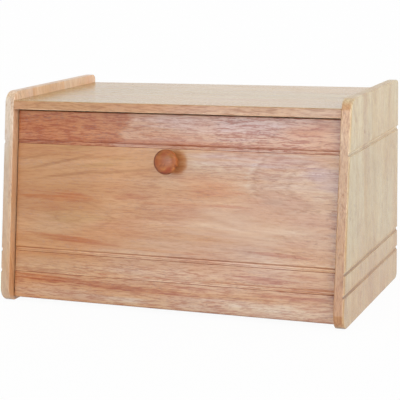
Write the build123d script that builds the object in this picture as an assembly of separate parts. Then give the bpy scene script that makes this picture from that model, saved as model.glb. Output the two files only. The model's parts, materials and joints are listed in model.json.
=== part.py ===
from build123d import *
import os
from math import cos, radians, sin, sqrt, tan

# Drop-front bread bin in glued-up hardwood, all lengths in millimetres.
# X runs across the bin, Y from front to back, Z up.
# The origin is the middle of the footprint, on the worktop.

# Overall size
width = 410.0
depth = 244.5
height = 241.0
front_lean = 8.5

# Boards
side_thickness = 11.5
top_thickness = 10.0
base_thickness = 10.0
back_thickness = 5.0
door_thickness = 11.5
side_rise = 10.0
base_underside = 6.0

# Rounded corners of the side panels and eased edges
front_corner_radius = 15.0
rear_top_radius = 6.0
rear_bottom_radius = 8.0
outer_edge_radius = 1.8
inner_edge_radius = 1.0
board_edge_radius = 1.2
back_edge_bevel = 0.5

# Decorative grooves, cut with a round-nosed cutter at the same heights all round
lower_groove_height = 37.5
middle_groove_height = 61.0
upper_groove_height = 184.0
groove_cutter_radius = 3.0
groove_depth = 1.8

# Door and its gaps, the recess measured level from the leaning front edges of the sides
door_recess = 11.0
door_side_gap = 1.0
door_top_gap = 2.0
door_under_gap = 5.0

# Hinge line at the foot of the door: pins in the sides, bushes in the door
hinge_above_door_foot = 8.0
swing_clearance = 0.7
pin_diameter = 4.0
pin_cover = 3.1
pin_in_door = 14.0
pin_end_room = 0.4
pin_bevel = 0.4
running_clearance = 0.05
press_clearance = 0.02
bush_diameter = 6.0
bush_past_pin = 2.0
bush_end_room = 1.0
flange_diameter = 10.0
flange_side_gap = 0.2

# Turned knob, its radii and heights above the door's face from foot to crown
knob_height = 167.3
knob_diameter = 28.0
knob_projection = 22.0
knob_crown_height = 6.5
knob_foot_radius = 8.6
knob_foot_height = 1.4
knob_foot_draft = 0.2
knob_neck_radius = 6.8
knob_neck_height = 5.8
knob_flare_radius = 11.4
knob_flare_height = 11.4
knob_curve_pull = 0.5
knob_crown_fullness = 0.65

# Countersunk screws, and the wood left past their points
knob_screw_head = 8.0
knob_screw_head_height = 2.4
knob_screw_shank = 4.0
knob_screw_cover = 8.0
rail_screw_head = 6.0
rail_screw_head_height = 1.8
rail_screw_shank = 3.0
rail_screw_cover = 3.5
rail_screw_inset = 28.0
back_screw_head = 5.0
back_screw_head_height = 1.5
back_screw_shank = 2.5
back_screw_bite = 9.0
back_screw_margin = 30.0
strike_screw_head = 4.4
strike_screw_head_height = 1.0
strike_screw_shank = 2.2
strike_screw_cover = 3.5
screw_hole_clearance = 0.05
screw_tip_room = 0.5

# Screw recess and point, as shares of the screw's own head and shank
recess_length_share = 0.55
recess_width_share = 0.13
recess_depth_share = 0.6
point_length_share = 1.2
point_end_share = 0.55

# Stop rail under the top board, its magnets and the door's strike discs
rail_height = 14.0
rail_depth = 14.0
rail_end_gap = 0.5
stop_gap = 0.3
catch_inset = 82.5
magnet_diameter = 8.0
magnet_length = 5.0
magnet_bevel = 0.3
disc_diameter = 12.0
disc_thickness = 1.5
glue_clearance = 0.05

# Dowels that join the top and base boards to the sides
dowel_diameter = 6.0
dowel_cover = 3.5
dowel_in_board = 20.0
dowel_end_room = 0.5
dowel_bevel = 0.6
dowel_edge_margin = 25.0

# Back panel in its rebates
rebate_into_side = 6.0
rebate_into_top = 4.0
rebate_clearance = 0.2

# Counts
dowels_per_end = 3
rail_screw_count = 3
side_screw_count = 3
base_screw_count = 3

# Worked out from the sizes above
lean = radians(front_lean)
nose_set_back = front_corner_radius * ((1 + sin(lean)) / cos(lean) - 1)
front_corner_y = -depth / 2 - nose_set_back
rear_y = depth / 2
back_front_y = rear_y - back_thickness
half_width = width / 2
inner_half = half_width - side_thickness
door_half = inner_half - door_side_gap
back_half = inner_half + rebate_into_side
top_surface = height - side_rise
top_underside = top_surface - top_thickness
top_middle = top_surface - top_thickness / 2
base_top = base_underside + base_thickness
base_middle = base_underside + base_thickness / 2
back_top = top_underside + rebate_into_top
rail_underside = top_underside - rail_height
groove_heights = (lower_groove_height, middle_groove_height, upper_groove_height)
side_sign = {"left": -1, "right": 1}
axis_turn = {"X": Rot(Y=90), "Y": Rot(X=-90), "Z": Rot()}
same_place = 1e-4


def front_y(z):
    """Level place of the leaning front edges at height z."""
    return front_corner_y + z * tan(lean)


def along_door(z):
    """Distance up the door from its foot to the height z on its outer face."""
    return (z - door_under_gap) / cos(lean)


def rail_front_y(z):
    """Level place of the stop rail's front face, just behind the closed door."""
    return front_y(z) + door_recess + (door_thickness + stop_gap) / cos(lean)


def spread(count, low, high):
    """Evenly spaced places from low to high."""
    return [low + (high - low) * i / (count - 1) for i in range(count)]


# The door's own frame: Y goes in through its thickness from the outer face, Z up along it
door_place = Pos(0, front_y(door_under_gap) + door_recess, door_under_gap) * Rot(X=-front_lean)
door_length = along_door(top_underside - door_top_gap)
hinge_in_door = Pos(0, door_thickness / 2, hinge_above_door_foot)
hinge_y = (door_place * hinge_in_door).position.Y
hinge_z = (door_place * hinge_in_door).position.Z
door_foot_reach = sqrt((door_thickness / 2) ** 2 + hinge_above_door_foot ** 2)
base_front_y = hinge_y + door_foot_reach + swing_clearance
knob_place = Pos(0, 0, along_door(knob_height))
knob_screw_place = Pos(0, door_thickness, along_door(knob_height)) * axis_turn["Y"]
catch_up_door = along_door(top_underside - rail_height / 2)
catch_x = {hand: sign * (door_half - catch_inset) for hand, sign in side_sign.items()}

# Fastener sizes as head diameter, head height, shank diameter and length
knob_screw_size = (
    knob_screw_head,
    knob_screw_head_height,
    knob_screw_shank,
    door_thickness + knob_projection - knob_screw_cover,
)
rail_screw_size = (
    rail_screw_head,
    rail_screw_head_height,
    rail_screw_shank,
    rail_height + top_thickness - rail_screw_cover,
)
back_screw_size = (
    back_screw_head,
    back_screw_head_height,
    back_screw_shank,
    back_thickness + back_screw_bite,
)
strike_screw_size = (
    strike_screw_head,
    strike_screw_head_height,
    strike_screw_shank,
    door_thickness - strike_screw_cover,
)

# Dowel centres as Y and Z, the same at both ends of a board
rear_dowel_y = back_front_y - dowel_edge_margin
top_dowel_y = spread(dowels_per_end, front_y(top_underside) + dowel_edge_margin, rear_dowel_y)
base_dowel_y = spread(dowels_per_end, base_front_y + dowel_edge_margin, rear_dowel_y)
top_dowel_places = [(y, top_middle) for y in top_dowel_y]
base_dowel_places = [(y, base_middle) for y in base_dowel_y]

# Screw places, each at the middle of the head's face and turned so that the head looks outward
side_screw_z = spread(side_screw_count, base_top + back_screw_margin, top_underside - back_screw_margin)
base_screw_x = spread(base_screw_count, back_screw_margin - inner_half, inner_half - back_screw_margin)
side_screw_x = inner_half + rebate_into_side / 2
back_screw_centres = [(sign * side_screw_x, z) for sign in side_sign.values() for z in side_screw_z]
back_screw_centres += [(x, base_middle) for x in base_screw_x]
back_screw_places = [Pos(x, rear_y, z) * axis_turn["Y"] for x, z in back_screw_centres]
rail_screw_end_x = inner_half - rail_end_gap - rail_screw_inset
rail_screw_y = rail_front_y(rail_underside) + rail_depth / 2
rail_screw_places = [
    Pos(x, rail_screw_y, rail_underside) * Rot(X=180)
    for x in spread(rail_screw_count, -rail_screw_end_x, rail_screw_end_x)
]


def rod(radius, start, end, axis="Z", bevel=0.0):
    """Round bar along one axis from start to end, its ends bevelled if asked."""
    bar = Pos(0, 0, (start + end) / 2) * Cylinder(radius, abs(end - start))
    if bevel:
        bar = chamfer(bar.edges().filter_by(GeomType.CIRCLE), bevel)
    return axis_turn[axis] * bar


def block(x_span, y_span, z_span):
    """Box between two places along each axis."""
    spans = (x_span, y_span, z_span)
    size = [abs(end - start) for start, end in spans]
    middle = [(start + end) / 2 for start, end in spans]
    return Pos(*middle) * Box(*size)


def profile_board(points, radii, x_start, x_end):
    """Board with a closed outline in Y and Z that runs from x_start to x_end."""
    outline = make_face(Plane.YZ * FilletPolyline(*points, radius=radii, close=True))
    x_low, x_high = sorted((x_start, x_end))
    return Pos(x_low, 0, 0) * extrude(outline, amount=x_high - x_low, dir=(1, 0, 0))


def edges_at_x(board, x):
    """The edges of a board that lie in one plane across the bin."""
    return board.edges().filter_by(lambda edge: abs(edge.center().X - x) < same_place)


def screw(size):
    """Countersunk screw with a cross recess, head face at Z = 0 and point down."""
    head_diameter, head_height, shank_diameter, length = size
    shank_radius = shank_diameter / 2
    point_length = point_length_share * shank_diameter
    head = Pos(0, 0, -head_height / 2) * Cone(shank_radius, head_diameter / 2, head_height)
    shank = rod(shank_radius, point_length - length, -head_height)
    point_radius = shank_radius * point_end_share
    point = Pos(0, 0, point_length / 2 - length) * Cone(point_radius, shank_radius, point_length)
    recess_depth = head_height * recess_depth_share
    slot = Pos(0, 0, -recess_depth / 2) * Box(
        head_diameter * recess_length_share, head_diameter * recess_width_share, recess_depth
    )
    return head + shank + point - slot - Rot(Z=90) * slot


def screw_hole(size):
    """Hole that holds one screw, with a little room round it and past its point."""
    head_diameter, head_height, shank_diameter, length = size
    head_radius = head_diameter / 2 + screw_hole_clearance
    shank_radius = shank_diameter / 2 + screw_hole_clearance
    sink = Pos(0, 0, -head_height / 2) * Cone(shank_radius, head_radius, head_height)
    mouth = rod(head_radius, 0, head_height)
    return mouth + sink + rod(shank_radius, -length - screw_tip_room, 0)


def bore_screws(board, places, size):
    """The board with one screw hole at each place."""
    for place in places:
        board -= place * screw_hole(size)
    return board


def screws(places, size):
    """One screw at each place, as a group of separate solids."""
    return Compound(children=[place * screw(size) for place in places])


def dowel_span(hand, room=0.0):
    """Both ends of one dowel along X, with room for glue past them in a hole."""
    sign = side_sign[hand]
    in_side = half_width - dowel_cover + room
    in_board = inner_half - dowel_in_board - room
    return sign * in_side, sign * in_board


def dowels(hand, places):
    """The dowels at one end of a board, as a group of separate solids."""
    bar = rod(dowel_diameter / 2, *dowel_span(hand), "X", dowel_bevel)
    return Compound(children=[Pos(0, y, z) * bar for y, z in places])


def bore_dowels(board, hand, places):
    """The board with the dowel holes of one of its ends."""
    hole = rod(dowel_diameter / 2 + glue_clearance, *dowel_span(hand, dowel_end_room), "X")
    for y, z in places:
        board -= Pos(0, y, z) * hole
    return board


def pin_span(hand, room=0.0):
    """Both ends of one hinge pin along X, with room past its end in the side panel."""
    sign = side_sign[hand]
    return sign * (half_width - pin_cover + room), sign * (door_half - pin_in_door)


def side_panel(hand):
    """Side of the bin: rounded outline, grooves outside, rebate and holes inside."""
    sign = side_sign[hand]
    corners = [
        (front_corner_y, 0),
        (rear_y, 0),
        (rear_y, height),
        (front_y(height), height),
    ]
    radii = [front_corner_radius, rear_bottom_radius, rear_top_radius, front_corner_radius]
    panel = profile_board(corners, radii, sign * inner_half, sign * half_width)
    panel = fillet(edges_at_x(panel, sign * half_width), outer_edge_radius)
    panel = fillet(edges_at_x(panel, sign * inner_half), inner_edge_radius)
    cutter = rod(groove_cutter_radius, -depth, depth, "Y")
    cutter_x = sign * (half_width + groove_cutter_radius - groove_depth)
    for z in groove_heights:
        panel -= Pos(cutter_x, 0, z) * cutter
    panel -= block(
        (sign * (inner_half - rebate_clearance), sign * (back_half + rebate_clearance)),
        (back_front_y, depth),
        (base_underside - rebate_clearance, back_top + rebate_clearance),
    )
    panel = bore_dowels(panel, hand, top_dowel_places + base_dowel_places)
    pin_hole = rod(pin_diameter / 2 + press_clearance, *pin_span(hand, pin_end_room), "X")
    panel -= Pos(0, hinge_y, hinge_z) * pin_hole
    return bore_screws(panel, back_screw_places, back_screw_size)


def top_board():
    """Shelf board between the sides, its front bevelled to their lean, rebated for the back panel."""
    rebate_top = back_top + rebate_clearance
    corners = [
        (front_y(top_underside), top_underside),
        (back_front_y, top_underside),
        (back_front_y, rebate_top),
        (rear_y, rebate_top),
        (rear_y, top_surface),
        (front_y(top_surface), top_surface),
    ]
    radii = [board_edge_radius, 0, 0, 0, board_edge_radius, board_edge_radius]
    board = profile_board(corners, radii, -inner_half, inner_half)
    for hand in side_sign:
        board = bore_dowels(board, hand, top_dowel_places)
    return bore_screws(board, rail_screw_places, rail_screw_size)


def base_board():
    """Floor of the bin, cut back at the front to clear the foot of the door."""
    corners = [
        (base_front_y, base_underside),
        (back_front_y, base_underside),
        (back_front_y, base_top),
        (base_front_y, base_top),
    ]
    radii = [board_edge_radius, 0, 0, board_edge_radius]
    board = profile_board(corners, radii, -inner_half, inner_half)
    for hand in side_sign:
        board = bore_dowels(board, hand, base_dowel_places)
    return bore_screws(board, back_screw_places, back_screw_size)


def back_panel():
    """Thin board in the rebates of the sides and the top, screwed on from behind."""
    panel = block((-back_half, back_half), (back_front_y, rear_y), (base_underside, back_top))
    rear_face = panel.faces().sort_by(Axis.Y)[-1]
    panel = chamfer(rear_face.edges(), back_edge_bevel)
    return bore_screws(panel, back_screw_places, back_screw_size)


def door_stop_rail():
    """Batten under the top board, its front face parallel to the closed door."""
    rail_rear_y = rail_front_y(rail_underside) + rail_depth
    corners = [
        (rail_front_y(rail_underside), rail_underside),
        (rail_rear_y, rail_underside),
        (rail_rear_y, top_underside),
        (rail_front_y(top_underside), top_underside),
    ]
    radii = [board_edge_radius, board_edge_radius, 0, 0]
    rail_half = inner_half - rail_end_gap
    rail = profile_board(corners, radii, -rail_half, rail_half)
    seat_front = door_thickness + stop_gap - magnet_length
    seat_rear = door_thickness + stop_gap + magnet_length
    seat = rod(magnet_diameter / 2 + glue_clearance, seat_front, seat_rear, "Y")
    for x in catch_x.values():
        rail -= door_place * Pos(x, 0, catch_up_door) * seat
    return bore_screws(rail, rail_screw_places, rail_screw_size)


def catch_magnet(hand):
    """Round magnet let in flush with the stop rail's front face."""
    front = door_thickness + stop_gap
    bar = rod(magnet_diameter / 2, front, front + magnet_length, "Y", magnet_bevel)
    return door_place * Pos(catch_x[hand], 0, catch_up_door) * bar


def strike_place(hand):
    """Middle of one strike disc on the door's inner face, turned to look inward."""
    return Pos(catch_x[hand], door_thickness, catch_up_door) * axis_turn["Y"]


def door_panel():
    """Drop-front door: grooved outer face, hinge bores in its ends, knob and disc seats."""
    door = block((-door_half, door_half), (0, door_thickness), (0, door_length))
    door = fillet(door.edges(), board_edge_radius)
    cutter = rod(groove_cutter_radius, -half_width, half_width, "X")
    for z in groove_heights:
        door -= Pos(0, groove_depth - groove_cutter_radius, along_door(z)) * cutter
    bore_depth = pin_in_door + bush_past_pin + bush_end_room
    bore_radius = bush_diameter / 2 + press_clearance
    disc_seat = rod(disc_diameter / 2 + glue_clearance, -disc_thickness, disc_thickness)
    for hand, sign in side_sign.items():
        door -= hinge_in_door * rod(bore_radius, sign * (door_half - bore_depth), sign * half_width, "X")
        door -= strike_place(hand) * disc_seat
    door = bore_screws(door, [strike_place(hand) for hand in side_sign], strike_screw_size)
    return door_place * bore_screws(door, [knob_screw_place], knob_screw_size)


def door_knob():
    """Turned mushroom knob, its foot on the door's outer face."""
    head_radius = knob_diameter / 2
    widest_height = knob_projection - knob_crown_height
    neck_curve = Spline(
        (knob_foot_radius, knob_foot_height),
        (knob_neck_radius, knob_neck_height),
        (knob_flare_radius, knob_flare_height),
        (head_radius, widest_height),
        tangents=((-knob_foot_draft, 1), (0, 1)),
        tangent_scalars=(knob_curve_pull, knob_curve_pull),
    )
    crown_curve = Bezier(
        (head_radius, widest_height),
        (head_radius, widest_height + knob_crown_fullness * knob_crown_height),
        (knob_crown_fullness * head_radius, knob_projection),
        (0, knob_projection),
    )
    outline = Curve() + [
        Line((0, 0), (knob_foot_radius, 0)),
        Line((knob_foot_radius, 0), (knob_foot_radius, knob_foot_height)),
        neck_curve,
        crown_curve,
        Line((0, knob_projection), (0, 0)),
    ]
    body = revolve(make_face(outline), axis=Axis.Y)
    knob = knob_place * Rot(Z=180) * body
    return door_place * bore_screws(knob, [knob_screw_place], knob_screw_size)


def hinge_pin(hand):
    """Steel pivot pin, fixed in the side panel and running in the door's bush."""
    return Pos(0, hinge_y, hinge_z) * rod(pin_diameter / 2, *pin_span(hand), "X", pin_bevel)


def hinge_bush(hand):
    """Flanged bush in the door's end, its flange a washer between door and side."""
    sign = side_sign[hand]
    bush_length = pin_in_door + bush_past_pin
    body = rod(bush_diameter / 2, sign * (door_half - bush_length), sign * door_half, "X")
    flange = rod(flange_diameter / 2, sign * door_half, sign * (inner_half - flange_side_gap), "X")
    bore = rod(pin_diameter / 2 + running_clearance, -half_width, half_width, "X")
    return Pos(0, hinge_y, hinge_z) * (body + flange - bore)


def strike_disc(hand):
    """Steel disc let in flush with the door's inner face, opposite its magnet."""
    disc = rod(disc_diameter / 2, -disc_thickness, 0) - screw_hole(strike_screw_size)
    return door_place * strike_place(hand) * disc


def strike_disc_screws():
    """One screw through the middle of each strike disc."""
    return screws([door_place * strike_place(hand) for hand in side_sign], strike_screw_size)


def all_parts():
    """Every node of the bin by name."""
    parts = {
        "top_board": top_board(),
        "base_board": base_board(),
        "back_panel": back_panel(),
        "back_panel_screws": screws(back_screw_places, back_screw_size),
        "door_stop_rail": door_stop_rail(),
        "stop_rail_screws": screws(rail_screw_places, rail_screw_size),
        "door_panel": door_panel(),
        "door_knob": door_knob(),
        "knob_screw": screws([door_place * knob_screw_place], knob_screw_size),
        "strike_disc_screws": strike_disc_screws(),
    }
    for hand in side_sign:
        parts[hand + "_side_panel"] = side_panel(hand)
        parts[hand + "_hinge_pin"] = hinge_pin(hand)
        parts[hand + "_hinge_bush"] = hinge_bush(hand)
        parts[hand + "_catch_magnet"] = catch_magnet(hand)
        parts[hand + "_strike_disc"] = strike_disc(hand)
        parts["top_board_" + hand + "_dowels"] = dowels(hand, top_dowel_places)
        parts["base_board_" + hand + "_dowels"] = dowels(hand, base_dowel_places)
    return parts


os.makedirs("parts", exist_ok=True)
for name, shape in all_parts().items():
    export_step(shape, "parts/" + name + ".step")
print("hinge line at y", round(hinge_y, 3), "z", round(hinge_z, 3))
print("door length", round(door_length, 2), "base front", round(base_front_y, 2))
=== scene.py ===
"""Looks of a wooden drop-front bread bin: lacquered boards, a turned knob, its fittings and a pale studio."""
import json
import logging
import math
from dataclasses import dataclass, replace
from enum import Enum

import bpy
from mathutils import Matrix, Vector

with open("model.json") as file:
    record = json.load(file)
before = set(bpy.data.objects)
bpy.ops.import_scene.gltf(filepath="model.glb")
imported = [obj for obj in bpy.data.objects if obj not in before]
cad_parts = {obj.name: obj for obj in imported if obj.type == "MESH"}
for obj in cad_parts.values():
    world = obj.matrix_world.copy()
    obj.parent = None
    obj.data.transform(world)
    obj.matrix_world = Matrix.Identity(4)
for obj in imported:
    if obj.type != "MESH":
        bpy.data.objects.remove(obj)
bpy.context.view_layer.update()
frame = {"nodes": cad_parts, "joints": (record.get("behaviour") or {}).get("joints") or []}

MM = 0.001
LOG = logging.getLogger("bread_bin")

Socket = bpy.types.NodeSocket
Value = Socket | float
Triple = tuple[float, float, float]
Colour = tuple[float, float, float]

# Ways in the bin's frame
UP: Triple = (0.0, 0.0, 1.0)
DOWN: Triple = (0.0, 0.0, -1.0)
FORWARD: Triple = (0.0, -1.0, 0.0)
RIGHTWARD: Triple = (1.0, 0.0, 0.0)
FORWARD_AND_UP: Triple = (0.0, -0.71, 0.71)
FORWARD_AND_DOWN: Triple = (0.0, -0.71, -0.71)

WHITE: Colour = (1.0, 1.0, 1.0)


def tone(red: int, green: int, blue: int) -> Colour:
    """Turns a tone's screen values, from 0 to 255, into the linear colour that a shader takes."""
    screen = (channel / 255 for channel in (red, green, blue))
    return tuple(s / 12.92 if s <= 0.04045 else ((s + 0.055) / 1.055) ** 2.4 for s in screen)


@dataclass(frozen=True)
class Noise:
    """A noise: its features in a metre each way, its finer layers and their strength.

    It begins to show where it passes low, and shows in full from high on.
    """

    per_metre: Triple
    detail: float = 2.0
    rough: float = 0.5
    low: float = 0.3
    high: float = 0.7


# Noises of the wood, along the grain, across it and through it
STREAKS = Noise((9.0, 150.0, 150.0), 4.0, 0.6)
DRIFT = Noise((3.0, 9.0, 9.0))
RIPPLE = Noise((14.0, 40.0, 40.0))
BANDS = Noise((3.5, 55.0, 55.0), 3.0, 0.55, 0.32, 0.68)
BLUSHES = Noise((8.0, 34.0, 34.0), 3.0, 0.6, 0.45, 0.70)
CLOUDS = Noise((9.0, 19.0, 19.0), 2.0, 0.55, 0.40, 0.64)
WOBBLE = Noise((7.0, 24.0, 24.0))
PATCHES = Noise((5.0, 30.0, 30.0), low=0.35, high=0.65)
FIBRES = Noise((66.0, 560.0, 560.0), 3.0, 0.7, 0.42, 0.64)
VESSELS = Noise((190.0, 1300.0, 1300.0), 1.0, 0.5, 0.76, 0.90)
CROWDS = Noise((14.0, 110.0, 110.0))

# Noises of the metal, the plastic and the floor
SCRATCHES = Noise((260.0, 4200.0, 4200.0), 3.0, 0.6)
TARNISH = Noise((240.0, 240.0, 240.0), 3.0, low=0.45, high=0.75)
SKIN = Noise((1900.0, 1900.0, 1900.0))
GRIME = Noise((160.0, 160.0, 160.0), 3.0, 0.6, 0.45, 0.80)
FILM = replace(GRIME, low=0.3, high=0.7)
PAPER = Noise((3.0, 3.0, 3.0))


class Graph:
    """Node tree of one finish, with a short call for each kind of node that it uses."""

    def __init__(self, tree: bpy.types.NodeTree) -> None:
        """Takes the tree to fill and empties it."""
        self.tree = tree
        self.tree.nodes.clear()

    def node(self, kind: str, inputs: dict | None = None, **settings: object) -> bpy.types.Node:
        """Adds one node.

        Args:
            kind: Blender's name of the node type.
            inputs: Constants or sockets by the input's name or number. A constant colour covers fully.
            settings: The node's own properties.

        Returns:
            The node.
        """
        node = self.tree.nodes.new(kind)
        for name, value in settings.items():
            setattr(node, name, value)
        for key, value in (inputs or {}).items():
            if isinstance(value, Socket):
                self.tree.links.new(value, node.inputs[key])
            elif node.inputs[key].type == "RGBA":
                node.inputs[key].default_value = (*value, 1.0)
            else:
                node.inputs[key].default_value = value
        return node

    def math(self, operation: str, *values: Value) -> Socket:
        """Adds one sum on numbers, by Blender's name of the operation, and gives its result."""
        return self.node("ShaderNodeMath", dict(enumerate(values)), operation=operation).outputs[0]

    def times(self, first: Value, second: Value) -> Socket:
        """Multiplies two numbers."""
        return self.math("MULTIPLY", first, second)

    def vector(self, operation: str, *values: Socket | Triple) -> Socket:
        """Adds one sum on vectors and gives its result, a number where the operation gives one."""
        node = self.node("ShaderNodeVectorMath", dict(enumerate(values)), operation=operation)
        return node.outputs["Value" if operation in ("LENGTH", "DOT_PRODUCT") else "Vector"]

    def split(self, vector: Socket) -> tuple[Socket, Socket, Socket]:
        """Gives the three parts of a vector."""
        return tuple(self.node("ShaderNodeSeparateXYZ", {0: vector}).outputs)

    def join(self, x: Value, y: Value, z: Value) -> Socket:
        """Gives the vector of three numbers."""
        return self.node("ShaderNodeCombineXYZ", {0: x, 1: y, 2: z}).outputs[0]

    def remap(self, value: Socket, low: float, high: float, start: Value = 0.0, end: Value = 1.0) -> Socket:
        """Eases a number into another that is start up to low and end from high on."""
        inputs = {"Value": value, "From Min": low, "From Max": high, "To Min": start, "To Max": end}
        return self.node("ShaderNodeMapRange", inputs, interpolation_type="SMOOTHSTEP").outputs["Result"]

    def mix(
        self, factor: Value, first: Socket | Colour, second: Socket | Colour, mode: str = "MIX"
    ) -> Socket:
        """Mixes two colours, factor being the second one's share, and mode Blender's name of the way."""
        inputs = {0: factor, 6: first, 7: second}
        return self.node("ShaderNodeMix", inputs, data_type="RGBA", blend_type=mode).outputs[2]

    def tint(self, share: Value, colour: Socket, tint: Colour) -> Socket:
        """Multiplies a colour by a tint, as far as a share says."""
        return self.mix(share, colour, tint, "MULTIPLY")

    def noise(self, place: Socket, kind: Noise) -> bpy.types.Node:
        """Adds a noise.

        Args:
            place: Where it is read, in metres.
            kind: How fine it is.

        Returns:
            The noise node, its first output a number and its second a colour.
        """
        scaled = self.vector("MULTIPLY", place, kind.per_metre)
        inputs = {"Vector": scaled, "Scale": 1.0, "Detail": kind.detail, "Roughness": kind.rough}
        return self.node("ShaderNodeTexNoise", inputs)

    def shown(self, place: Socket, kind: Noise, start: Value = 0.0, end: Value = 1.0) -> Socket:
        """Gives how much a noise shows, as a number from start, not at all, to end, in full."""
        return self.remap(self.noise(place, kind).outputs[0], kind.low, kind.high, start, end)

    def coat(self, looks: dict[str, Value], form: Socket, relief: float, height: float) -> None:
        """Ends a finish with its relief and its shader.

        Args:
            looks: The shader's inputs by name.
            form: What stands out in the relief.
            relief: How strong the relief is, from 0 to 1.
            height: The relief's height in millimetres.
        """
        inputs = {"Strength": relief, "Distance": height * MM, "Height": form}
        bump = self.node("ShaderNodeBump", inputs).outputs[0]
        shader = self.node("ShaderNodeBsdfPrincipled", {**looks, "Normal": bump}).outputs[0]
        self.node("ShaderNodeOutputMaterial", {"Surface": shader})


@dataclass(frozen=True)
class Finish:
    """The looks of one kind of surface."""

    def material(self, name: str) -> bpy.types.Material:
        """Builds the finish.

        Args:
            name: The material's name.

        Returns:
            The material.
        """
        material = bpy.data.materials.new(name)
        material.use_nodes = True
        self.lay(Graph(material.node_tree))
        return material

    def lay(self, graph: Graph) -> None:
        """Fills the finish's node tree, in each kind of finish in its own way."""
        raise NotImplementedError


class Grain(Enum):
    """Which axes of the bin run along a board's grain, across its face and through it."""

    LYING = (0, 1, 2)
    ACROSS_THE_FRONT = (0, 2, 1)
    UPRIGHT = (2, 1, 0)


class Tint(Enum):
    """What a patch multiplies the wood's own colour by: mostly the wood's natural colour; PAINTED_SHADE and a
    few patches in other tints are painted light and shade.
    """

    RUST = (0.86, 0.60, 0.42)
    RED = (0.86, 0.66, 0.60)
    ORANGE = (0.95, 0.74, 0.56)
    DARK = (0.74, 0.62, 0.54)
    OLIVE = (0.92, 0.94, 0.84)
    PALE = (1.10, 1.18, 1.26)
    PINK = (0.98, 1.09, 1.36)
    BLUSH = (0.96, 0.84, 0.74)
    LIGHT = (1.09, 1.15, 1.24)
    MILKY = (1.08, 1.30, 1.52)
    PAINTED_SHADE = (0.72, 0.68, 0.70)
    SHADE = (0.88, 0.86, 0.85)
    AMBER = (0.92, 0.70, 0.50)
    LILAC = (0.92, 0.96, 1.26)
    BRICK = (0.80, 0.44, 0.34)
    KHAKI = (0.88, 1.02, 0.58)
    UMBER = (0.60, 0.46, 0.36)


@dataclass(frozen=True)
class Timber:
    """Colours and figure of the wood, its lengths in millimetres.

    drift and ripple are how far the grain wanders in long and in short waves, and ring_wobble is
    how far it shifts the rings, in rings. crowding is how much the pores' crowds add to them, and
    lively_pores how much a livelier patch does. fibre_dullness and fibre_depth compare the fibres
    with the pores.
    """

    body: Colour = tone(190, 135, 88)
    pale: Colour = tone(200, 152, 108)
    blush: Colour = tone(178, 113, 74)
    pore: Colour = tone(116, 64, 44)
    fibre: Colour = (0.70, 0.56, 0.48)
    ring: Colour = (0.80, 0.68, 0.58)
    end_grain: Colour = (0.80, 0.62, 0.46)
    # line darkens the grooves' lines: painted shade in the door's grooves
    line: Colour = (0.48, 0.31, 0.22)
    cloud: Colour = (0.97, 1.07, 1.24)
    blush_share: float = 0.55
    cloud_share: float = 0.80
    fibre_share: float = 0.60
    pore_share: float = 0.60
    ring_share: float = 0.40
    end_share: float = 0.80
    ring_gap: float = 6.0
    ring_wobble: float = 1.6
    faintest_ring: float = 0.25
    drift: float = 14.0
    ripple: float = 1.3
    gloss_roughness: float = 0.18
    dull_roughness: float = 0.34
    crowding: float = 0.35
    lively_pores: float = 0.4
    fibre_dullness: float = 0.4
    fibre_depth: float = 0.35
    relief: float = 0.12
    relief_height: float = 0.3
    refraction: float = 1.5


@dataclass(frozen=True)
class Cut:
    """How a board was cut from the log, its lengths in millimetres.

    heart_across and heart_depth place the log's heart behind the middle of the face, and taper is
    how fast the heart comes nearer along the grain. slip picks another stretch of the log.
    """

    grain: Grain
    slip: Triple
    lean: float = 0.0
    origin: Triple = (0.0, 0.0, 0.0)
    heart_across: float = 0.0
    heart_depth: float = 40.0
    taper: float = -0.05


@dataclass(frozen=True)
class Strip:
    """One strip of a glued-up board: the place across the board where it begins, in millimetres.

    streaks is how much stronger its fibres show than the rest of the board's.
    """

    edge: float
    tint: Colour
    slip: Triple
    streaks: float = 0.0


@dataclass(frozen=True)
class Facing:
    """A tint of the faces that look one way in the bin's frame; most facings are painted light and shade on
    edges and faces.

    axis, start and end keep it to a stretch along one axis of the bin, in millimetres. first and
    full are where the tint begins and is full as a face turns that way. streaks is how much
    stronger fibres and pores show there.
    """

    way: Triple
    tint: Colour
    axis: int = 2
    start: float = -1000.0
    end: float = 1000.0
    first: float = 0.70
    full: float = 0.97
    streaks: float = 0.0


@dataclass(frozen=True)
class Mark:
    """A patch of colour in a board's face, most of the wood's natural colour and some of painted light and
    shade, its lengths in millimetres and its turn in degrees.

    Where hollow is more than 0 the patch is only the first half of its rim, hollow being the rim's
    share of the half width. streaks is how much stronger fibres and pores show in it. It may have
    no tint of its own.
    """

    along: float
    across: float
    half_length: float
    half_width: float
    tint: Tint | None
    strength: float = 0.8
    turn: float = 0.0
    soft: float = 0.7
    ragged: float = 0.9
    hollow: float = 0.0
    strip: int = 0
    streaks: float = 0.0


@dataclass(frozen=True)
class Groove:
    """One groove: the place of its middle, the tint of its bed, on the door mostly painted light lifting the
    bed's shade, and its dark line's offset and share.
    """

    middle: float
    bed: Colour
    offset: float = 0.0
    share: float = 0.8


@dataclass(frozen=True)
class Fade:
    """How a share changes from first to last along one of a board's axes, its places in millimetres."""

    axis: int
    start: float
    end: float
    first: float
    last: float


@dataclass(frozen=True)
class Grooves:
    """A board's grooves, in millimetres along one of its own axes, and the place of its outer face.

    axis counts the board's axes from 0, inward is 1 where through grows into the wood and lean is the grooved
    face's own. flank_light is painted light that lifts the shade on the steep sides of the grooves,
    foot_flank_light more of it on the one nearer the board's foot.
    """

    grooves: tuple[Groove, ...]
    axis: int
    face: float
    inward: int
    fade: Fade
    lean: float = 0.0
    flank_light: Colour = (1.22, 1.27, 1.34)
    foot_flank_light: Colour = (1.0, 1.0, 1.0)
    half_width: float = 3.0
    depth: float = 1.8
    line_half_width: float = 0.7


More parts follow.
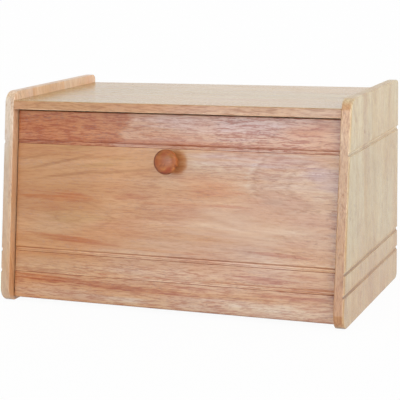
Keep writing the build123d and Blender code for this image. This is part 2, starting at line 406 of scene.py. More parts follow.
@dataclass(frozen=True)
class WoodFinish(Finish):
    """Lacquered wood of one board, worked out from the board's own frame.

    blur softens a facing's ends, in millimetres. end_first and end_full are where end grain begins
    and is full as a face turns across the grain.
    """

    timber: Timber
    cut: Cut
    strips: tuple[Strip, ...] = ()
    marks: tuple[Mark, ...] = ()
    grooves: Grooves | None = None
    facings: tuple[Facing, ...] = ()
    blur: float = 0.5
    end_first: float = 0.45
    end_full: float = 0.92

    def lay(self, graph: Graph) -> None:
        """Lays the wood from its broad figure to its pores, its grooves and its lacquer.

        Args:
            graph: The finish's node tree.
        """
        coordinates = graph.node("ShaderNodeTexCoord").outputs
        origin = tuple(length * MM for length in self.cut.origin)
        located = graph.vector("SUBTRACT", coordinates["Object"], origin)
        place = self.in_board(graph, located, self.cut.lean)
        inside = self.strip_masks(graph, place)
        log_place = self.in_log(graph, place, inside)
        streak = graph.noise(log_place, STREAKS).outputs[0]
        colour = self.figure(graph, log_place)
        lively: Value = 0.0
        for mask, strip in zip(inside[1:], self.strips):
            colour = graph.tint(mask, colour, strip.tint)
            lively = graph.math("MULTIPLY_ADD", mask, strip.streaks, lively)
        for mark in self.marks:
            share = self.mark_mask(graph, place, streak, mark)
            if inside:
                share = graph.times(share, inside[mark.strip])
            if mark.tint:
                colour = graph.tint(graph.times(share, mark.strength), colour, mark.tint.value)
            if mark.streaks:
                lively = graph.math("MULTIPLY_ADD", share, mark.streaks, lively)
        for facing in self.facings:
            share = self.facing_mask(graph, coordinates, facing)
            colour = graph.tint(share, colour, facing.tint)
            if facing.streaks:
                lively = graph.math("MULTIPLY_ADD", share, facing.streaks, lively)
        fibre, pore = self.fibre(graph, log_place), self.pore(graph, log_place)
        timber = self.timber
        share = graph.math("ADD", lively, timber.fibre_share)
        colour = graph.tint(graph.times(fibre, graph.math("MAXIMUM", share, 0.0)), colour, timber.fibre)
        share = graph.math("MULTIPLY_ADD", lively, timber.lively_pores, timber.pore_share)
        colour = graph.mix(graph.times(pore, graph.math("MAXIMUM", share, 0.0)), colour, timber.pore)
        if self.grooves:
            colour = self.paint_groove_light_and_shade(graph, located, colour)
        normal = graph.vector("ABSOLUTE", self.in_board(graph, coordinates["Normal"], self.cut.lean))
        end = graph.remap(graph.split(normal)[0], self.end_first, self.end_full)
        colour = graph.tint(graph.times(end, timber.end_share), colour, timber.end_grain)
        self.surface(graph, colour, fibre, pore, end)

    def in_board(self, graph: Graph, vector: Socket, lean: float) -> Socket:
        """Gives a place or a direction in the board's own frame.

        Args:
            graph: The finish's node tree.
            vector: The place or direction in the bin's frame.
            lean: How far the frame leans back, in degrees.

        Returns:
            Its parts along the grain, across the face and through the board.
        """
        inputs = {"Vector": vector, "Angle": math.radians(lean)}
        turned = graph.node("ShaderNodeVectorRotate", inputs, rotation_type="X_AXIS").outputs[0]
        parts = graph.split(turned)
        return graph.join(*(parts[axis] for axis in self.cut.grain.value))

    def strip_masks(self, graph: Graph, place: Socket) -> list[Socket]:
        """Gives one mask for each glued strip, the first for the wood before the first edge.

        Args:
            graph: The finish's node tree.
            place: The place in the board.

        Returns:
            The masks, none where the board has no strips.
        """
        if not self.strips:
            return []
        across = graph.split(place)[1]
        past = [graph.math("GREATER_THAN", across, strip.edge * MM) for strip in self.strips]
        first = graph.math("SUBTRACT", 1.0, past[0])
        last = [graph.math("SUBTRACT", here, there) for here, there in zip(past, past[1:])]
        return [first, *last, past[-1]]

    def in_log(self, graph: Graph, place: Socket, inside: list[Socket]) -> Socket:
        """Gives the place in the log that the wood at a place was cut from, with the grain's wander.

        Args:
            graph: The finish's node tree.
            place: The place in the board.
            inside: The masks of the strips.

        Returns:
            The place in the log.
        """
        place = graph.vector("ADD", place, tuple(length * MM for length in self.cut.slip))
        for mask, strip in zip(inside[1:], self.strips):
            slip = tuple(length * MM for length in strip.slip)
            place = graph.vector("MULTIPLY_ADD", graph.join(mask, mask, mask), slip, place)
        drift, ripple = (graph.noise(place, kind).outputs[1] for kind in (DRIFT, RIPPLE))
        for shift, reach in ((drift, self.timber.drift * MM), (ripple, self.timber.ripple * MM)):
            centred = graph.vector("SUBTRACT", shift, (0.5, 0.5, 0.5))
            place = graph.vector("MULTIPLY_ADD", centred, (0.0, reach, reach), place)
        return place

    def figure(self, graph: Graph, log_place: Socket) -> Socket:
        """Gives the wood's colour from its broad bands, its blushes and its growth rings.

        Args:
            graph: The finish's node tree.
            log_place: The place in the log.

        Returns:
            The colour before fibres and pores.
        """
        timber, cut = self.timber, self.cut
        band = graph.shown(log_place, BANDS)
        colour = graph.mix(band, timber.body, timber.pale)
        blush = graph.shown(log_place, BLUSHES)
        colour = graph.mix(graph.times(blush, timber.blush_share), colour, timber.blush)
        cloud = graph.shown(log_place, CLOUDS)
        colour = graph.tint(graph.times(cloud, timber.cloud_share), colour, timber.cloud)
        along, across, through = graph.split(log_place)
        beside = graph.math("SUBTRACT", across, (cut.heart_across + cut.slip[1]) * MM)
        depth = graph.math("ADD", through, (cut.heart_depth - cut.slip[2]) * MM)
        along_face = graph.math("SUBTRACT", along, cut.slip[0] * MM)
        depth = graph.math("MULTIPLY_ADD", along_face, cut.taper, depth)
        wobble = graph.noise(log_place, WOBBLE).outputs[0]
        radius = graph.vector("LENGTH", graph.join(beside, depth, 0.0))
        turns = graph.math("DIVIDE", radius, timber.ring_gap * MM)
        turns = graph.math("MULTIPLY_ADD", wobble, timber.ring_wobble, turns)
        wave = graph.math("SINE", graph.times(turns, 2 * math.pi))
        late_wood = graph.remap(wave, -0.2, 1.0)
        patchy = graph.shown(log_place, PATCHES, timber.faintest_ring)
        share = graph.times(graph.times(late_wood, patchy), timber.ring_share)
        return graph.tint(share, colour, timber.ring)

    def mark_mask(self, graph: Graph, place: Socket, streak: Socket, mark: Mark) -> Socket:
        """Gives a patch's share at a place, its outline torn along the grain.

        Args:
            graph: The finish's node tree.
            place: The place in the board.
            streak: Noise that is drawn out along the grain.
            mark: The patch.

        Returns:
            The share, from 0 to 1.
        """
        centre = (mark.along * MM, mark.across * MM, 0.0)
        offset = graph.vector("SUBTRACT", place, centre)
        inputs = {"Vector": offset, "Angle": -math.radians(mark.turn)}
        offset = graph.node("ShaderNodeVectorRotate", inputs, rotation_type="Z_AXIS").outputs[0]
        shares = (1 / (mark.half_length * MM), 1 / (mark.half_width * MM), 0.0)
        away = graph.vector("LENGTH", graph.vector("MULTIPLY", offset, shares))
        torn = graph.math("MULTIPLY_ADD", graph.math("SUBTRACT", streak, 0.5), mark.ragged * 2, 1.0)
        inward = graph.math("SUBTRACT", torn, away)
        if not mark.hollow:
            return graph.remap(inward, 0.0, mark.soft)
        rim = graph.math("SUBTRACT", mark.hollow, graph.math("ABSOLUTE", inward))
        reach = mark.half_length * MM
        first_half = graph.remap(graph.split(offset)[0], -0.4 * reach, 0.4 * reach, 1.0, 0.0)
        return graph.times(graph.remap(rim, 0.0, mark.hollow), first_half)

    def facing_mask(self, graph: Graph, coordinates: bpy.types.bpy_prop_collection, facing: Facing) -> Socket:
        """Gives the share of a tint that only the faces that look one way wear.

        Args:
            graph: The finish's node tree.
            coordinates: The outputs of the texture coordinates.
            facing: The way and the tint.

        Returns:
            The share, from 0 to 1.
        """
        along_way = graph.vector("DOT_PRODUCT", coordinates["Normal"], facing.way)
        share = graph.remap(along_way, facing.first, facing.full)
        spot = graph.split(coordinates["Object"])[facing.axis]
        after = graph.remap(spot, (facing.start - self.blur) * MM, (facing.start + self.blur) * MM)
        before = graph.remap(spot, (facing.end - self.blur) * MM, (facing.end + self.blur) * MM, 1.0, 0.0)
        return graph.times(share, graph.times(after, before))

    def fibre(self, graph: Graph, log_place: Socket) -> Socket:
        """Gives the share of the wood's fine fibres at a place in the log."""
        return graph.shown(log_place, FIBRES)

    def pore(self, graph: Graph, log_place: Socket) -> Socket:
        """Gives the short dark vessels of the wood, thicker in some places.

        Args:
            graph: The finish's node tree.
            log_place: The place in the log.

        Returns:
            Their share, from 0 to 1.
        """
        dash = graph.noise(log_place, VESSELS).outputs[0]
        crowd = graph.noise(log_place, CROWDS).outputs[0]
        both = graph.math("MULTIPLY_ADD", crowd, self.timber.crowding, dash)
        return graph.remap(both, VESSELS.low, VESSELS.high)

    def paint_groove_light_and_shade(self, graph: Graph, located: Socket, colour: Socket) -> Socket:
        """Tints the grooves' beds, paints light on their steep sides to lift their shade, and draws a dark
        line along each, painted shade under the upper lip in the door's grooves.

        Args:
            graph: The finish's node tree.
            located: The place in the bin's frame, from the cut's origin.
            colour: The wood's colour.

        Returns:
            The colour with its grooves.
        """
        cuts = self.grooves
        parts = graph.split(self.in_board(graph, located, cuts.lean))
        sunk = graph.times(graph.math("SUBTRACT", parts[2], cuts.face * MM), cuts.inward)
        half_width, depth = cuts.half_width * MM, cuts.depth * MM
        # From just under the face to a little past the grooves' depth
        inside = graph.remap(sunk, 0.05 * MM, 0.4 * depth)
        inside = graph.times(inside, graph.math("LESS_THAN", sunk, 1.2 * depth))
        fade = cuts.fade
        fading = graph.remap(parts[fade.axis], fade.start * MM, fade.end * MM, fade.first, fade.last)
        for groove in cuts.grooves:
            offset = graph.math("SUBTRACT", parts[cuts.axis], groove.middle * MM)
            bed = graph.math("LESS_THAN", graph.math("ABSOLUTE", offset), half_width)
            bed = graph.times(bed, inside)
            # The bed's tint: on the door, painted light lifting the bed's shade
            colour = graph.tint(bed, colour, groove.bed)
            # Painted light on the steep sides, lifting their shade, and once more on the one nearer the foot
            from_lit = graph.math("ABSOLUTE", graph.math("ADD", offset, 0.25 * half_width))
            flank_light = graph.remap(from_lit, 0.2 * half_width, 0.4 * half_width)
            colour = graph.tint(graph.times(bed, flank_light), colour, cuts.flank_light)
            foot = graph.remap(offset, -0.7 * half_width, -0.3 * half_width, 1.0, 0.0)
            colour = graph.tint(graph.times(bed, foot), colour, cuts.foot_flank_light)
            # A dark line along the groove: in the door's grooves, painted shade under the upper lip
            away = graph.math("ABSOLUTE", graph.math("SUBTRACT", offset, groove.offset * MM))
            width = cuts.line_half_width * MM
            line = graph.remap(away, 0.5 * width, 1.5 * width, groove.share, 0.0)
            line = graph.times(graph.times(line, inside), fading)
            colour = graph.tint(line, colour, self.timber.line)
        return colour

    def surface(self, graph: Graph, colour: Socket, fibre: Socket, pore: Socket, end: Socket) -> None:
        """Adds the lacquered surface: its roughness, relief and shader.

        Args:
            graph: The finish's node tree.
            colour: The wood's colour.
            fibre: The share of fibres.
            pore: The share of pores.
            end: The share of end grain.
        """
        timber = self.timber
        dull = graph.math("MAXIMUM", graph.math("MULTIPLY_ADD", fibre, timber.fibre_dullness, pore), end)
        roughness = graph.remap(dull, 0.0, 1.0, timber.gloss_roughness, timber.dull_roughness)
        sunk = graph.math("MULTIPLY_ADD", fibre, timber.fibre_depth, pore)
        form = graph.times(sunk, -1.0)
        looks = {"Base Color": colour, "Roughness": roughness, "IOR": timber.refraction}
        graph.coat(looks, form, timber.relief, timber.relief_height)


@dataclass(frozen=True)
class MetalFinish(Finish):
    """Plated or turned steel with fine scratches and some tarnish. relief_height is in millimetres."""

    colour: Colour
    roughness: float = 0.28
    wear: float = 0.25
    worn_share: float = 0.55
    roughness_spread: float = 0.16
    relief: float = 0.15
    relief_height: float = 0.05

    def lay(self, graph: Graph) -> None:
        """Lays the metal, its tarnish and its scratches.

        Args:
            graph: The finish's node tree.
        """
        place = graph.node("ShaderNodeTexCoord").outputs["Object"]
        scratch = graph.noise(place, SCRATCHES).outputs[0]
        worn = tuple(self.worn_share * channel for channel in self.colour)
        colour = graph.mix(graph.shown(place, TARNISH, end=self.wear), self.colour, worn)
        dullest = self.roughness + self.roughness_spread
        roughness = graph.remap(scratch, SCRATCHES.low, SCRATCHES.high, self.roughness, dullest)
        looks = {"Base Color": colour, "Metallic": 1.0, "Roughness": roughness}
        graph.coat(looks, scratch, self.relief, self.relief_height)


@dataclass(frozen=True)
class PlasticFinish(Finish):
    """Moulded plastic with a faint orange-peel skin and some grime. relief_height is in millimetres."""

    colour: Colour
    grime: Colour
    grime_share: float = 0.35
    roughness: float = 0.42
    roughness_spread: float = 0.12
    relief: float = 0.12
    relief_height: float = 0.04

    def lay(self, graph: Graph) -> None:
        """Lays the plastic, its grime and its skin.

        Args:
            graph: The finish's node tree.
        """
        place = graph.node("ShaderNodeTexCoord").outputs["Object"]
        skin = graph.noise(place, SKIN).outputs[0]
        colour = graph.mix(graph.shown(place, GRIME, end=self.grime_share), self.colour, self.grime)
        roughness = graph.shown(place, FILM, self.roughness, self.roughness + self.roughness_spread)
        looks = {"Base Color": colour, "Roughness": roughness}
        graph.coat(looks, skin, self.relief, self.relief_height)


@dataclass(frozen=True)
class FloorFinish(Finish):
    """Matt white paper that also glows, so that it is as pale as the room. lift is the glow's share."""

    dim: Colour = tone(240, 240, 240)
    bright: Colour = tone(244, 243, 242)
    lift: float = 0.95

    def lay(self, graph: Graph) -> None:
        """Lays the paper, and the glow that only a direct look, a reflection or a see-through sees.

        Args:
            graph: The finish's node tree.
        """
        place = graph.node("ShaderNodeTexCoord").outputs["Object"]
        colour = graph.mix(graph.shown(place, PAPER), self.dim, self.bright)
        matt = graph.node("ShaderNodeBsdfDiffuse", {"Color": colour}).outputs[0]
        glow = graph.node("ShaderNodeEmission", {"Color": WHITE, "Strength": 1.0}).outputs[0]
        light_path = graph.node("ShaderNodeLightPath").outputs
        seen = graph.math("MAXIMUM", light_path["Is Camera Ray"], light_path["Is Glossy Ray"])
        seen = graph.math("MAXIMUM", seen, light_path["Is Transmission Ray"])
        parts = {0: graph.times(seen, self.lift), 1: matt, 2: glow}
        shader = graph.node("ShaderNodeMixShader", parts).outputs[0]
        graph.node("ShaderNodeOutputMaterial", {"Surface": shader})


def dress(node: str, material: bpy.types.Material) -> None:
    """Gives one CAD node its finish.

    Args:
        node: The node's name.
        material: The finish.
    """
    piece = frame["nodes"][node]
    for holder in piece.material_slots:
        holder.material = material
    LOG.info("%s wears %s, %d faces", node, material.name, len(piece.data.polygons))


@dataclass(frozen=True)
class Lamp:
    """A soft round lamp far away: its direction, its outer and full reach in degrees, and its light.

    azimuth turns to the left from straight before the bin's front.
    """

    azimuth: float
    elevation: float
    reach: float
    full_reach: float
    light: Triple

    def glow(self, graph: Graph, direction: Socket) -> Socket:
        """Gives the lamp's light in a direction.

        Args:
            graph: The room's node tree.
            direction: Where the room is seen.

        Returns:
            The light as a vector of its red, green and blue.
        """
        azimuth, elevation = math.radians(self.azimuth), math.radians(self.elevation)
        ahead = (
            -math.sin(azimuth) * math.cos(elevation),
            -math.cos(azimuth) * math.cos(elevation),
            math.sin(elevation),
        )
        facing = graph.vector("DOT_PRODUCT", direction, ahead)
        outer, inner = math.cos(math.radians(self.reach)), math.cos(math.radians(self.full_reach))
        share = graph.remap(facing, outer, inner)
        return graph.vector("MULTIPLY", graph.join(share, share, share), self.light)


@dataclass(frozen=True)
class Studio:
    """Camera, even light of a pale room and a white floor. Lengths in metres, angles in degrees."""

    camera_place: Triple = (0.55000, -1.38037, 0.39392)
    camera_yaw: float = 21.8059
    camera_pitch: float = 10.8946
    camera_roll: float = 1.21257
    lens: float = 116.03
    sensor: float = 36.0
    nearest: float = 0.05
    farthest: float = 200.0
    front_level: float = 0.66
    back_level: float = 1.02
    zenith_level: float = 0.74
    softbox: Lamp = Lamp(3.0, 8.0, 23.0, 15.0, (3.60, 4.20, 4.55))
    fill: Lamp = Lamp(-72.0, 14.0, 46.0, 22.0, (1.10, 1.10, 1.10))
    floor_size: float = 80.0
    floor_drop: float = 0.0002

    def build(self) -> None:
        """Sets up the camera, the light and the floor."""
        self.set_camera()
        self.light_room()
        self.lay_floor()
        bpy.context.scene.view_settings.view_transform = "Standard"
        LOG.info("studio: camera at %s, lens %.2f mm", self.camera_place, self.lens)

    def set_camera(self) -> None:
        """Places the camera by its yaw to the left, its pitch down and its roll."""
        yaw, pitch, roll = (math.radians(a) for a in (self.camera_yaw, self.camera_pitch, self.camera_roll))
        ahead = Vector((-math.sin(yaw) * math.cos(pitch), math.cos(yaw) * math.cos(pitch), -math.sin(pitch)))
        level_right = Vector((math.cos(yaw), math.sin(yaw), 0.0))
        level_down = ahead.cross(level_right)
        right = level_right * math.cos(roll) + level_down * math.sin(roll)
        up = level_right * math.sin(roll) - level_down * math.cos(roll)
        turn = Matrix((right, up, -ahead)).transposed().to_4x4()
        data = bpy.data.cameras.new("camera")
        data.lens = self.lens
        data.sensor_width = self.sensor
        data.clip_start = self.nearest
        data.clip_end = self.farthest
        camera = bpy.data.objects.new("camera", data)
        bpy.context.scene.collection.objects.link(camera)
        camera.matrix_world = Matrix.Translation(self.camera_place) @ turn
        bpy.context.scene.camera = camera

    def light_room(self) -> None:
        """Lights the bin from a pale room with a soft lamp before its front and a fill beside it."""
        world = bpy.data.worlds.new("pale_room")
        world.use_nodes = True
        bpy.context.scene.world = world
        graph = Graph(world.node_tree)
        direction = graph.node("ShaderNodeTexCoord").outputs["Generated"]
        _, rearward, upward = graph.split(direction)
        wall = graph.remap(rearward, -0.8, 0.8, self.front_level, self.back_level)
        room = graph.remap(upward, 0.1, 1.0, wall, self.zenith_level)
        light = graph.join(room, room, room)
        for lamp in (self.softbox, self.fill):
            light = graph.vector("ADD", light, lamp.glow(graph, direction))
        seen = graph.node("ShaderNodeLightPath").outputs["Is Camera Ray"]
        light = graph.mix(seen, light, WHITE)
        shader = graph.node("ShaderNodeBackground", {"Color": light, "Strength": 1.0})
        graph.node("ShaderNodeOutputWorld", {"Surface": shader.outputs[0]})

    def lay_floor(self) -> None:
        """Lays a white floor that takes the bin's shadow."""
        bpy.ops.object.select_all(action="DESELECT")
        bpy.ops.mesh.primitive_plane_add(size=self.floor_size, location=(0.0, 0.0, -self.floor_drop))
        floor = bpy.context.active_object
        floor.name = "floor"
        floor.data.materials.append(FloorFinish().material("white_floor"))


@dataclass(frozen=True)
class Carcass:
    """Side panels, shelf, floor, back and the pieces that join them. Lengths in millimetres."""

    groove_heights: Triple = (37.5, 61.0, 184.0)
    half_width: float = 205.0
    shelf_underside: float = 221.0
    side_strip_edges: tuple[float, float] = (-31.5, 48.0)
    side_strip_lean: float = -3.0
    top_strip_edges: tuple[float, float] = (-18.0, 52.0)
    base_strip_edges: tuple[float, float] = (-30.0, 40.0)

    def build(self) -> None:
        """Dresses every piece of the carcass."""
        self.dress_sides()
        self.dress_boards()
        self.dress_fittings()

    def dress_sides(self) -> None:
        """Gives the side panels upright grain, a paler front strip, grooves with painted light and a dark
        line, painted light on their tops and painted shade on their bottoms.
        """
        timber = Timber(
            body=tone(193, 166, 118), pale=tone(203, 181, 137), blush=tone(190, 154, 112),
            line=(0.50, 0.37, 0.27), ring_share=0.30, end_share=0.10, pore_share=0.45, fibre_share=0.60,
        )
        left_timber = replace(
            timber, body=tone(208, 173, 132), pale=tone(216, 186, 150), blush=tone(206, 158, 118)
        )
        woods = {"left": left_timber, "right": timber}
        tints = {"left": self.left_facings(), "right": self.right_facings()}
        # Painted light on the tops and painted shade on the undersides
        up = Facing(UP, (1.06, 1.04, 1.10))
        down = Facing(DOWN, (0.50, 0.42, 0.36))
        bed = (1.0, 0.98, 0.95)
        fade = Fade(1, -105.0, -20.0, 1.0, 0.60)
        grooves = tuple(
            Groove(height, bed, -1.6, share) for height, share in zip(self.groove_heights, (0.95, 1.0, 0.5))
        )
        for hand, sign, slip in (("left", -1, (310.0, -260.0, 90.0)), ("right", 1, (-140.0, 420.0, -60.0))):
            cut = Cut(Grain.UPRIGHT, slip, lean=self.side_strip_lean, heart_across=70.0, taper=0.04)
            front_edge, rear_edge = self.side_strip_edges
            strips = (
                Strip(front_edge, (0.96, 0.92, 0.86), (410.0, 33.0, 12.0)),
                Strip(rear_edge, (0.99, 0.97, 0.93), (-290.0, -51.0, 25.0)),
            )
            cuts = Grooves(grooves, 0, sign * self.half_width, -sign, fade, line_half_width=1.0)
            finish = WoodFinish(woods[hand], cut, strips, self.side_marks(), cuts, (*tints[hand], up, down))
            dress(f"{hand}_side_panel", finish.material(f"{hand}_side_wood"))

    def left_facings(self) -> tuple[Facing, ...]:
        """Gives the left panel's tints: a greyer front edge, a painted reflection of the pale room, and an
        inner face warmer and lighter with painted light below the shelf, and paler above it.

        Returns:
            The facings.
        """
        seam = -self.half_width + 7.5
        return (
            # Painted reflection: a greyer front edge
            Facing(FORWARD, (0.84, 0.88, 1.00), 0, end=seam, streaks=-0.40),
            Facing(FORWARD, (0.90, 0.88, 0.94), 0, start=seam, first=0.5, streaks=-0.25),
            # Painted light on the inner face below the shelf
            Facing(RIGHTWARD, (1.16, 1.04, 0.98), end=self.shelf_underside, streaks=-0.2),
            Facing(RIGHTWARD, (1.24, 1.21, 1.27), start=self.shelf_underside, streaks=-0.20),
        )

    def right_facings(self) -> tuple[Facing, ...]:
        """Gives the right panel's tints: an orange front edge with a painted highlight at its outer corner,
        and paler at its top.

        Returns:
            The facings.
        """
        seam = self.half_width - 1.8
        return (
            Facing(FORWARD, (0.86, 0.59, 0.50), 0, end=seam, first=0.4, streaks=0.15),
            # Painted highlight on the outer corner of the front edge
            Facing(FORWARD, (1.06, 0.92, 0.92), 0, start=seam, first=0.15, streaks=-0.3),
            Facing(FORWARD_AND_UP, (1.02, 0.99, 0.96), 0, end=seam, streaks=-0.3),
        )

    def side_marks(self) -> tuple[Mark, ...]:
        """Gives the patches of colour in the side panels: paler towards the top and more orange towards the
        bottom.

        Returns:
            The patches.
        """
        blush = Mark(22, 0, 60, 400, Tint.BLUSH, 1.0, ragged=0.3)
        light = Mark(250, 0, 90, 400, Tint.LIGHT, 1.0, ragged=0.3)
        lively = Mark(230, -90, 60, 60, Tint.LIGHT, 1.0, ragged=0.3, streaks=0.3)
        strips = range(len(self.side_strip_edges) + 1)
        return (*(replace(mark, strip=strip) for mark in (blush, light) for strip in strips), lively)

    def dress_boards(self) -> None:
        """Gives the lying boards, the back and the rail grain that runs across the bin."""
        timber = Timber()
        shelf_timber = Timber(
            body=tone(188, 156, 103), pale=tone(197, 168, 119), blush=tone(190, 150, 106),
            ring_share=0.2, pore_share=0.3,
        )
        top_strips = (
            Strip(self.top_strip_edges[0], (0.98, 1.02, 0.98), (530.0, 47.0, 20.0)),
            Strip(self.top_strip_edges[1], (1.02, 1.00, 0.96), (-350.0, -29.0, 31.0)),
        )
        base_strips = (
            Strip(self.base_strip_edges[0], (0.94, 0.92, 0.90), (610.0, 39.0, 17.0)),
            Strip(self.base_strip_edges[1], (1.03, 1.02, 1.00), (-470.0, -37.0, 23.0)),
        )
        looks = {
            "base_board": (Grain.LYING, (-420.0, 150.0, 75.0), base_strips),
            "back_panel": (Grain.ACROSS_THE_FRONT, (130.0, -540.0, 35.0), ()),
            "door_stop_rail": (Grain.LYING, (-610.0, -220.0, 55.0), ()),
        }
        for node, (grain, slip, strips) in looks.items():
            dress(node, WoodFinish(timber, Cut(grain, slip), strips).material(f"{node}_wood"))
        facings = (
            Facing(FORWARD, (1.00, 0.74, 0.76), first=0.5, streaks=0.25),
            Facing(FORWARD, (1.00, 1.10, 1.30), 0, start=0.0, first=0.5, streaks=0.09),
            Facing(UP, (0.95, 0.85, 0.76), streaks=-0.60),
            Facing(UP, (0.87, 0.84, 0.70), 0, end=-60.0),
            # Painted shade on the underside, in the gap above the door
            Facing(DOWN, (0.52, 0.32, 0.22), first=0.95),
            # Painted highlight on the lower front edge
            Facing(FORWARD_AND_DOWN, (1.50, 1.60, 1.90)),
        )
        cut = Cut(Grain.LYING, (210.0, 330.0, -45.0))
        shelf = WoodFinish(shelf_timber, cut, top_strips, facings=facings, blur=50.0)
        dress("top_board", shelf.material("top_board_wood"))

    def dress_fittings(self) -> None:
        """Gives the dowels, screws, pins and magnets their finishes."""
        dowel_finish = WoodFinish(Timber(pore_share=0.3), Cut(Grain.LYING, (90.0, 40.0, 10.0)))
        dowel_wood = dowel_finish.material("dowel_wood")
        for board in ("top_board", "base_board"):
            for hand in ("left", "right"):
                dress(f"{board}_{hand}_dowels", dowel_wood)
        screw_steel = MetalFinish(tone(196, 190, 178)).material("screw_steel")
        for node in ("stop_rail_screws", "back_panel_screws"):
            dress(node, screw_steel)
        pin_steel = MetalFinish(tone(182, 182, 184), 0.22).material("pin_steel")
        magnet_plate = MetalFinish(tone(84, 74, 64), 0.30, wear=0.2).material("magnet_plate")
        for hand in ("left", "right"):
            dress(f"{hand}_hinge_pin", pin_steel)
            dress(f"{hand}_catch_magnet", magnet_plate)


